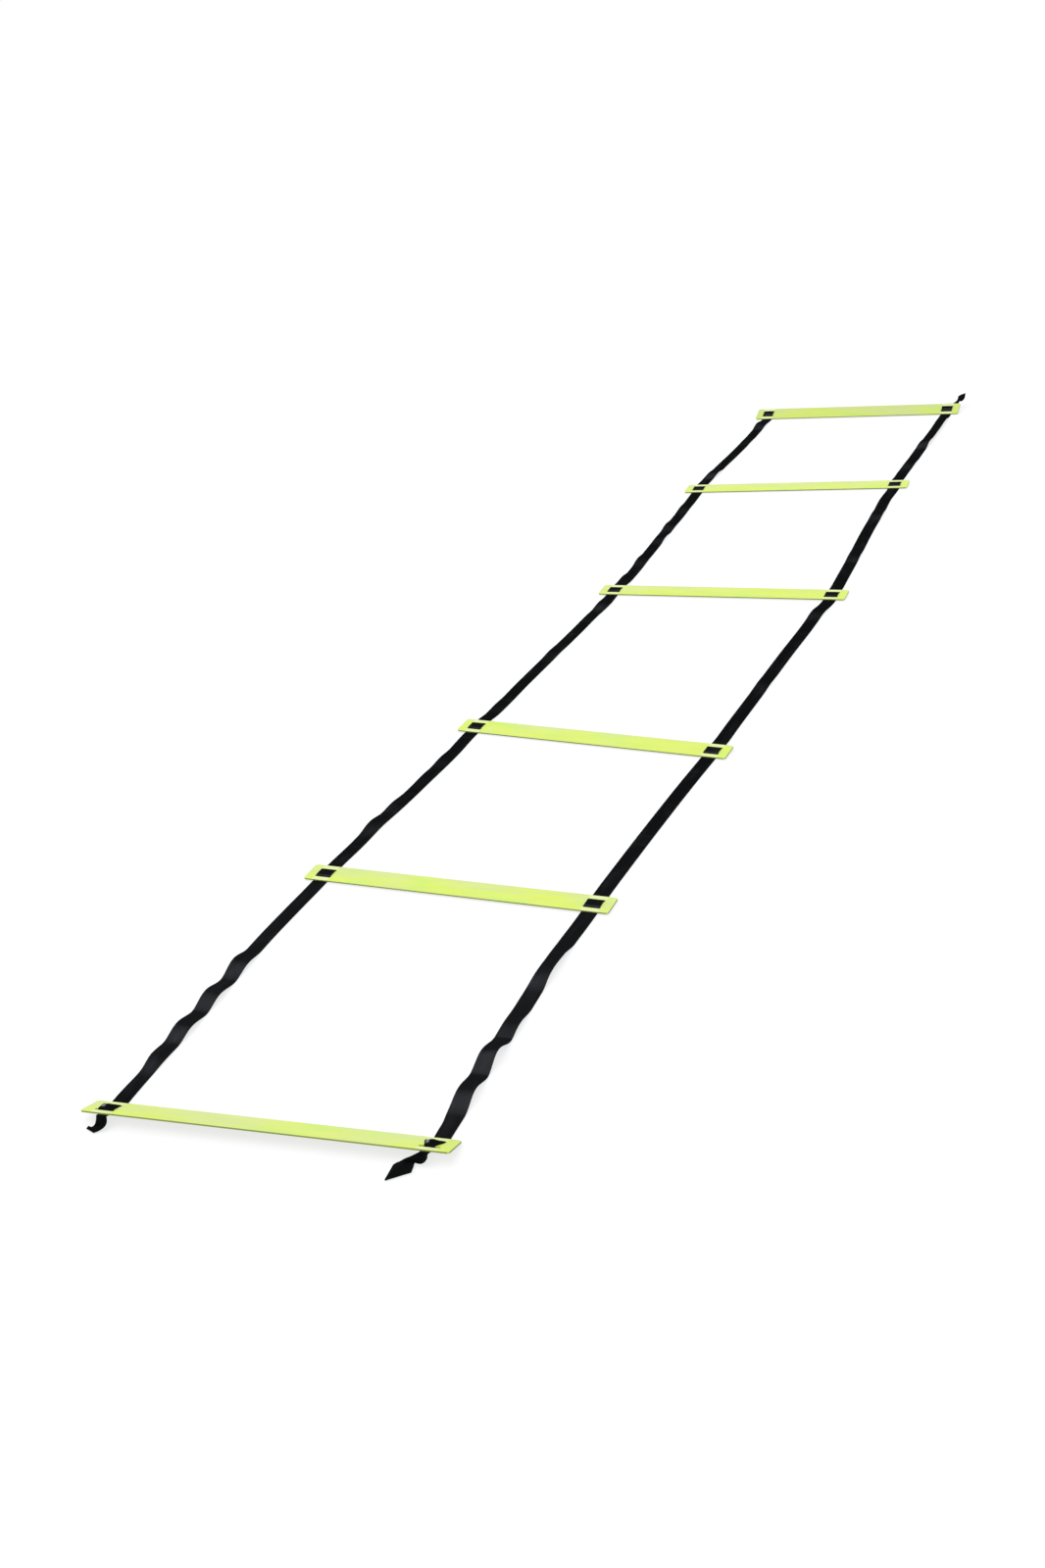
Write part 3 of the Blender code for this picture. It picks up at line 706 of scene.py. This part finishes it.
class Value:
    """A number that varies over a surface: an output socket, on which sums and products add Math nodes."""

    def __init__(self, finish, socket):
        self.finish = finish
        self.socket = socket

    def math(self, operation, *values, clamp=False):
        settings = {"operation": operation, "use_clamp": clamp}
        return self.finish.node("ShaderNodeMath", settings, dict(enumerate(values)))

    def __add__(self, other):
        return self.math("ADD", self, other)

    def __radd__(self, other):
        return self.math("ADD", other, self)

    def __sub__(self, other):
        return self.math("SUBTRACT", self, other)

    def __rsub__(self, other):
        return self.math("SUBTRACT", other, self)

    def __mul__(self, other):
        return self.math("MULTIPLY", self, other)

    def __rmul__(self, other):
        return self.math("MULTIPLY", other, self)

    def __truediv__(self, other):
        return self.math("DIVIDE", self, other)

    def __rtruediv__(self, other):
        return self.math("DIVIDE", other, self)

    def __pow__(self, other):
        return self.math("POWER", self, other)

    def __abs__(self):
        return self.math("ABSOLUTE", self)

    def floor(self):
        return self.math("FLOOR", self)

    def clamped(self):
        return self.math("ADD", self, 0, clamp=True)

    def at_least(self, other):
        return self.math("MAXIMUM", self, other)


class Finish:
    """A material being made, or a world."""

    def __init__(self, name, kind="materials"):
        self.data = getattr(bpy.data, kind).new(name)
        self.data.use_nodes = True
        self.tree = self.data.node_tree
        self.tree.nodes.clear()

    def node(self, kind, settings=None, values=None, output=0):
        """Adds a node: its settings first, then its sockets' values or links."""
        node = self.tree.nodes.new(kind)
        for name, setting in (settings or {}).items():
            setattr(node, name, setting)
        for name, value in (values or {}).items():
            socket = node.inputs[name]
            if isinstance(value, Value):
                self.tree.links.new(value.socket, socket)
            else:
                socket.default_value = value
        return Value(self, node.outputs[output]) if node.outputs else None

    def mix(self, first, second, share):
        """Two colours mixed by a share."""
        node = self.tree.nodes.new("ShaderNodeMix")
        node.data_type = "RGBA"
        sockets = {socket.identifier: socket for socket in node.inputs}
        given = {"Factor_Float": share, "A_Color": first, "B_Color": second}
        for name, value in given.items():
            if isinstance(value, Value):
                self.tree.links.new(value.socket, sockets[name])
            elif name == "Factor_Float":
                sockets[name].default_value = value
            else:
                sockets[name].default_value = (*value, 1)
        result = next(s for s in node.outputs if s.identifier == "Result_Color")
        return Value(self, result)

    def flat_place(self, layer):
        """The distances held in a UV map."""
        uv = self.node("ShaderNodeUVMap", {"uv_map": layer})
        first = self.node("ShaderNodeSeparateXYZ", None, {0: uv})
        second = Value(self, first.socket.node.outputs[1])
        return first, second

    def noise(self, x, y, z=0.0, detail=2.0, roughness=0.5):
        """Noise between 0 and 1 at a place given by three numbers."""
        place = self.node("ShaderNodeCombineXYZ", None, {0: x, 1: y, 2: z})
        values = {"Vector": place, "Scale": 1.0, "Detail": detail, "Roughness": roughness}
        return self.node("ShaderNodeTexNoise", None, values)

    def attribute(self, name):
        """A number that the mesh holds for each point."""
        return self.node("ShaderNodeAttribute", {"attribute_name": name}, None, 2)

    def scaled(self, tint, share):
        """A colour times a number."""
        return self.node("ShaderNodeVectorMath", {"operation": "SCALE"}, {0: tint, "Scale": share})

    def band(self, value, start, end):
        """0 at start, 1 at end, with level ends. Start may be the larger."""
        low, high = (start, end) if start < end else (end, start)
        settings = {"interpolation_type": "SMOOTHSTEP"}
        share = self.node("ShaderNodeMapRange", settings, {"Value": value, 1: low, 2: high})
        return share if start < end else 1 - share

    def shader(self, settings, links):
        """The surface's shader, joined to the material's output."""
        surface = self.node("ShaderNodeBsdfPrincipled", None, {**settings, **links})
        self.node("ShaderNodeOutputMaterial", None, {"Surface": surface})
        return self.data


def slat_finish(colours):
    """Neon plastic: fine draw lines along the slat, cloudy colour with greener zones and greyish haze that
    is streaked along the slat, a painted sheen that thickens the haze towards the far edge, a painted
    highlight on the rails beside the slots, painted shade on the cut edges, light scuffs that dull the
    surface, and painted shade on the far slat."""
    finish = Finish("neon_plastic")
    along, across = finish.flat_place("slat")
    own = across - (across / SLAT_PITCH + 0.5).floor() * SLAT_PITCH
    cloud = finish.noise(along * 14, across * 60, detail=3.0)
    lines = finish.noise(along * 6, across * 2600, 3.1, detail=3.0, roughness=0.6)
    green = finish.band(finish.noise(along * 11, across * 30, 17.1), 0.50, 0.66)
    zone = finish.noise(along * 8, across * 22, 11.3)
    streak = finish.noise(along * 9, across * 800, 13.9, detail=3.0, roughness=0.6)
    # Painted sheen: the grey haze grows towards each slat's far edge
    far_sheen = finish.band(own, -HALF_WIDTH, HALF_WIDTH)
    haze_and_sheen = finish.band(0.6 * zone + 0.3 * streak + 0.1 * far_sheen, 0.44, 0.60)
    speck = finish.noise(along * 900, across * 900, 7.7, detail=2.0)
    slant = along * 40 + across * 25
    scuff = finish.noise(slant, across * 420 - along * 90, 5.3, detail=4.0, roughness=0.65)
    scuffed = finish.band(scuff, 0.60, 0.74)
    # Painted shade: the cut edges at the slat's sides and ends are darkened
    edge = finish.band(abs(own), *(HALF_WIDTH - inwards for inwards in SIDE_FADE))
    tip = finish.band(abs(along), *(SLAT_LENGTH / 2 - inwards for inwards in END_FADE))
    cut = edge.at_least(tip)
    # Painted highlight: the rails beside each slot are paler
    beside = finish.band(abs(abs(along) - SLOT_X), *RAIL_HIGHLIGHT_ALONG)
    rail = finish.band(abs(own), *(SLOT_Y + SLOT_WIDTH / 2 + outwards for outwards in RAIL_HIGHLIGHT_OUT))
    rail_highlight = beside * rail * (0.55 + 0.5 * cloud)
    # Painted shade: the far slat is darker. The rest of this shading is random tone from the cloud and the
    # draw lines.
    last = finish.band(across, SLAT_PITCH * (SLATS - 0.6), SLAT_PITCH * (SLATS - 0.4))
    shade = (0.90 + 0.12 * cloud + 0.06 * lines) * (1 - FAR_SLAT_SHADE * last)
    tint = finish.mix(colours.plastic[:], colours.plastic_green[:], green * 0.7)
    tint = finish.mix(tint, colours.plastic_haze_and_sheen[:], haze_and_sheen * 0.6)
    body = finish.scaled(tint, shade)
    body = finish.mix(body, colours.plastic_highlight_and_scuff[:], rail_highlight.clamped())
    body = finish.mix(body, colours.plastic_highlight_and_scuff[:], scuffed * 0.12)
    body = finish.mix(body, colours.plastic_edge_shade[:], cut * 0.9)
    rough = (0.34 + 0.10 * cloud + 0.14 * scuffed + 0.04 * speck).clamped()
    height = lines * 0.6 + speck * 0.25 - scuffed * 0.3
    values = {"Strength": 0.22, "Distance": 0.0002, "Height": height}
    normal = finish.node("ShaderNodeBump", None, values)
    settings = {"IOR": 1.49, "Specular IOR Level": 0.45, "Coat Roughness": 0.2}
    links = {"Base Color": body, "Roughness": rough, "Normal": normal}
    return finish.shader(settings, links)


def webbing_finish(colours, sizes):
    """Black woven webbing: rows of yarn floats, each row half a float on from the next, with painted shade
    between the yarns. A painted grey sheen lies where it rises from the floor and thickens the dust there,
    fine creases cross it, it is greyer along its near stretch, and a painted glint lies on the humps over
    the first slat's bars."""
    finish = Finish("black_woven_webbing")
    across, along = finish.flat_place("webbing")
    column = across / sizes.yarn_width
    number = column.floor()
    side = column - number - 0.5
    shift = number * 0.5
    row = along / sizes.yarn_length + shift
    step = row - row.floor() - 0.5
    rounded_side = (1 - side * side * 4).clamped() ** 0.5
    rounded_end = (1 - (abs(step) * 2) ** 3.0).clamped()
    bead = rounded_side * rounded_end
    rib = finish.noise(across * 60, along * 950, 1.7, detail=2.0)
    fuzz = finish.noise(across * 5200, along * 3000, 4.4, detail=2.0)
    dust = finish.noise(across * 55, along * 16, 9.2, detail=4.0, roughness=0.6)
    crease = finish.band(finish.noise(across * 5, along * 70, 2.6), 0.62, 0.70)
    rubbed, rise, hump = (finish.attribute(name) for name in ("rubbed", "rise", "hump"))
    half = sizes.webbing_width / 2
    selvedge = finish.band(abs(across - half), *(half - inwards for inwards in SELVEDGE_FADE))
    place = along - (along / STRAP_PITCH).floor() * STRAP_PITCH
    nearby = finish.band(place, *NEAR_GREY_STARTS) * finish.band(place, *NEAR_GREY_ENDS)
    # The dust patches are the webbing's own. Their growth where the strap rises, and the sheen below, are
    # painted sheen. The near stretch is greyer.
    dust_and_sheen = finish.band(dust, 0.46, 0.72) * (0.18 + 0.30 * rise) + 0.13 * nearby
    sheen = rise * (0.75 + 0.25 * crease)
    grey = (dust_and_sheen + sheen + 0.10 * crease + 0.10 * selvedge + 0.06 * rubbed + 0.04 * fuzz).clamped()
    # Painted shade: the colour darkens between the yarns
    lit = 0.55 + 0.50 * bead + 0.10 * rib
    body = finish.mix(colours.yarn[:], colours.yarn_worn_and_sheen[:], grey)
    # Painted glint on the humps over the first slat's bars
    glint = finish.band(abs(across / sizes.webbing_width - GLINT_PLACE), 0.20, 0.03)
    body = finish.mix(body, colours.yarn_shiny[:], glint * finish.band(hump, 0.20, 0.80))
    body = finish.scaled(body, lit)
    rough = (0.62 + 0.12 * (1 - bead) + 0.10 * dust - 0.06 * rubbed).clamped()
    height = bead + 0.20 * fuzz + 0.15 * rib
    values = {"Strength": 0.7, "Distance": 0.0003, "Height": height}
    normal = finish.node("ShaderNodeBump", None, values)
    settings = {"Specular IOR Level": 0.0}
    links = {"Base Color": body, "Roughness": rough, "Normal": normal}
    return finish.shader(settings, links)


def seen_directly(finish):
    """1 for the camera's rays and for those that gloss and glass send on, otherwise 0."""
    path = finish.tree.nodes.new("ShaderNodeLightPath")
    kinds = ("Is Camera Ray", "Is Glossy Ray", "Is Transmission Ray")
    camera, glossy, sent_through = (Value(finish, path.outputs[kind]) for kind in kinds)
    return camera.at_least(glossy).at_least(sent_through)


def floor_finish(colours):
    """Pale floor that takes the object's shadow. Where it is seen directly it glows, so that it reads as
    white."""
    finish = Finish("pale_floor")
    seen = seen_directly(finish)
    spread = finish.node("ShaderNodeBsdfDiffuse", None, {"Color": (*colours.floor[:], 1)})
    values = {"Color": WHITE, "Strength": FLOOR_GLOW * seen}
    glow = finish.node("ShaderNodeEmission", None, values)
    both = finish.node("ShaderNodeAddShader", None, {0: spread, 1: glow})
    finish.node("ShaderNodeOutputMaterial", None, {"Surface": both})
    return finish.data


def studio_world():
    """Even soft light, with a white background where it is seen directly."""
    finish = Finish("studio", "worlds")
    light = finish.node("ShaderNodeBackground", None, {"Color": WORLD_TINT, "Strength": WORLD_LIGHT})
    white = finish.node("ShaderNodeBackground", None, {"Color": WHITE, "Strength": 1.0})
    both = finish.node("ShaderNodeMixShader", None, {0: seen_directly(finish), 1: light, 2: white})
    finish.node("ShaderNodeOutputWorld", None, {"Surface": both})
    return finish.data


# Operators


def slats():
    """The slats in their places."""
    return [Slat(number) for number in range(1, SLATS + 1)]


class LADDER_OT_slats(bpy.types.Operator):
    """Makes the six neon slats with their slots."""

    bl_idname = "ladder.slats"
    bl_label = "Slats"

    def execute(self, context):
        finish = slat_finish(context.scene.ladder_colours)
        for slat in slats():
            name = f"slat_{slat.number}"
            obj = bpy.data.objects.new(name, slat_mesh(name, slat))
            context.scene.collection.objects.link(obj)
            obj.data.materials.append(finish)
            wall = obj.modifiers.new("thickness", "SOLIDIFY")
            wall.thickness = SLAT_THICKNESS
            wall.offset = 0
            edge = obj.modifiers.new("edges", "BEVEL")
            edge.width = context.scene.ladder_sizes.slat_edge
            edge.segments = EDGE_SEGMENTS
            edge.limit_method = "ANGLE"
            edge.angle_limit = math.radians(EDGE_ANGLE)
            edge.harden_normals = True
            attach(obj, f"rung_{slat.number}")
            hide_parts(f"rung_{slat.number}")
        return {"FINISHED"}


def make_strap(context, side):
    """One strap, cut into pieces at each slat's bar and on both sides of each fold. Only an end piece
    without a loose end is tied to its slat; the others stay where they lie."""
    sizes = context.scene.ladder_sizes
    finish = bpy.data.materials.get("black_woven_webbing")
    if finish is None:
        finish = webbing_finish(context.scene.ladder_colours, sizes)
    ladder = slats()
    course = Course(ladder, side, sizes)
    offset = 0.0 if side == "left" else STRAP_PITCH
    folds = []
    for bay in range(SLATS - 1):
        fold = joint(f"fold_{bay + 1}")
        place, axis = np.array(fold["pos_m"], float), np.array(fold["axis"], float)
        normal = np.array((-axis[1], axis[0], 0)) * (1 if axis[0] > 0 else -1)
        length = FOLD_LENGTH * abs(place[2] - sizes.webbing_thickness / 2)
        lead, trail = FOLD_LEAD * length, (1 - FOLD_LEAD) * length
        near = course.crossing(bay, place, normal, -lead - FOLD_MARGIN)
        far = course.crossing(bay, place, normal, trail + FOLD_MARGIN)
        folds.append((place - lead * normal, place + trail * normal, near, far))

    def piece(name, start, end, nodes):
        obj, length, area = ribbon(name, course, start, end, offset, sizes)
        obj.data.materials.append(finish)
        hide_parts(*nodes)
        return obj

    for slat in ladder:
        number = slat.number
        bay = number - 1
        over = f"{side}_strap_over_rung_{number}"
        webbing, rung = f"webbing_{number}", f"rung_{number}"
        slot = slat.place((SIDES[side] * SLOT_X, 0, 0))
        across = unit(slat.turn[:, 1] * (1, 1, 0))
        for way, end in ((-1, "near"), (1, "far")):
            name = f"{side}_strap_{'before' if way < 0 else 'after'}_slat_{number}"
            last = number == (1 if way < 0 else SLATS)
            bounds = [course.bars[bay], course.bars[bay]]
            if way < 0:
                bounds[0] = 0.0 if last else folds[bay - 1][3]
            else:
                bounds[1] = float(course.at[-1]) if last else folds[bay][2]
            nodes = [over]
            if not last:
                within = f"bay_{bay}_far" if way < 0 else f"bay_{number}_near"
                nodes.append(f"{side}_strap_{within}")
            elif (side, end) in TAIL_SHARES:
                nodes.append(f"{side}_strap_{end}_tail")
            obj = piece(name, bounds[0], bounds[1], nodes)
            if last and (side, end) in TAIL_SHARES:
                outward = way * across
                slot + HALF_WIDTH * outward
                slot + TAIL_HELD * outward
                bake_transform(obj)
            elif last:
                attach(obj, rung)
            else:
                start = slat.centre + way * SLIDE_FREE * slat.slide
                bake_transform(obj)
    for bay, (start, end, near, far) in enumerate(folds, 1):
        nodes = [f"{side}_strap_bay_{bay}_near", f"{side}_strap_bay_{bay}_far"]
        obj = piece(f"{side}_strap_at_fold_{bay}", near, far, nodes)
        f"webbing_{bay + 1}"
        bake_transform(obj)


class LADDER_OT_left_strap(bpy.types.Operator):
    """Makes the left webbing strap, from its loose near end to the far slat."""

    bl_idname = "ladder.left_strap"
    bl_label = "Left strap"

    def execute(self, context):
        make_strap(context, "left")
        return {"FINISHED"}


class LADDER_OT_right_strap(bpy.types.Operator):
    """Makes the right webbing strap, with a loose end past each end slat."""

    bl_idname = "ladder.right_strap"
    bl_label = "Right strap"

    def execute(self, context):
        make_strap(context, "right")
        return {"FINISHED"}


class LADDER_OT_stage(bpy.types.Operator):
    """Makes the floor, the studio light and the camera."""

    bl_idname = "ladder.stage"
    bl_label = "Stage"

    def execute(self, context):
        scene = context.scene
        half = FLOOR_SIZE / 2
        corners = [(-half, -half), (half, -half), (half, half), (-half, half)]
        mesh = bpy.data.meshes.new("floor")
        mesh.from_pydata([(x, y, -FLOOR_DROP) for x, y in corners], [], [(0, 1, 2, 3)])
        floor = bpy.data.objects.new("floor", mesh)
        scene.collection.objects.link(floor)
        mesh.materials.append(floor_finish(scene.ladder_colours))
        scene.world = studio_world()
        lamp = bpy.data.lights.new("wide_soft_light", "SUN")
        lamp.energy = KEY_STRENGTH
        lamp.angle = math.radians(KEY_SPREAD)
        key = bpy.data.objects.new("wide_soft_light", lamp)
        scene.collection.objects.link(key)
        key.rotation_euler = [math.radians(angle) for angle in KEY_TURN]
        data = bpy.data.cameras.new("camera")
        data.sensor_fit = "AUTO"
        data.sensor_width = SENSOR_WIDTH
        data.lens = CAMERA_LENS
        data.clip_end = CAMERA_REACH
        camera = bpy.data.objects.new("camera", data)
        scene.collection.objects.link(camera)
        camera.matrix_world = camera_matrix()
        scene.camera = camera
        scene.view_settings.view_transform = "Standard"
        return {"FINISHED"}


def camera_matrix():
    """The camera's axes: turned about the vertical, pitched down, then rolled about its line of sight."""
    level = np.array((-math.sin(CAMERA_TURN), math.cos(CAMERA_TURN), 0))
    right = np.array((math.cos(CAMERA_TURN), math.sin(CAMERA_TURN), 0))
    up = np.array((0, 0, 1))
    raised = math.sin(CAMERA_PITCH) * level + math.cos(CAMERA_PITCH) * up
    back = -math.cos(CAMERA_PITCH) * level + math.sin(CAMERA_PITCH) * up
    rolled_right = math.cos(CAMERA_ROLL) * right - math.sin(CAMERA_ROLL) * raised
    rolled_up = math.sin(CAMERA_ROLL) * right + math.cos(CAMERA_ROLL) * raised
    matrix = np.eye(4)
    matrix[:3] = np.column_stack((rolled_right, rolled_up, back, CAMERA_PLACE))
    return Matrix(matrix.tolist())


class LADDER_PT_parts(bpy.types.Panel):
    """Lists the ladder's pieces, sizes and colours."""

    bl_idname = "LADDER_PT_parts"
    bl_label = "Agility ladder"
    bl_space_type = "VIEW_3D"
    bl_region_type = "UI"
    bl_category = "Ladder"

    def draw(self, context):
        for group in (context.scene.ladder_sizes, context.scene.ladder_colours):
            for name in group.__annotations__:
                self.layout.prop(group, name)
        for operator in OPERATORS:
            self.layout.operator(operator.bl_idname)


OPERATORS = (LADDER_OT_stage, LADDER_OT_slats, LADDER_OT_left_strap, LADDER_OT_right_strap)
CLASSES = (LadderSizes, LadderColours, *OPERATORS, LADDER_PT_parts)


def register():
    for cls in CLASSES:
        bpy.utils.register_class(cls)
    bpy.types.Scene.ladder_sizes = PointerProperty(type=LadderSizes)
    bpy.types.Scene.ladder_colours = PointerProperty(type=LadderColours)


def unregister():
    del bpy.types.Scene.ladder_colours
    del bpy.types.Scene.ladder_sizes
    for cls in reversed(CLASSES):
        bpy.utils.unregister_class(cls)


def main():
    register()
    bpy.ops.ladder.stage()
    bpy.ops.ladder.slats()
    bpy.ops.ladder.left_strap()
    bpy.ops.ladder.right_strap()


if __name__ == "__main__":
    main()
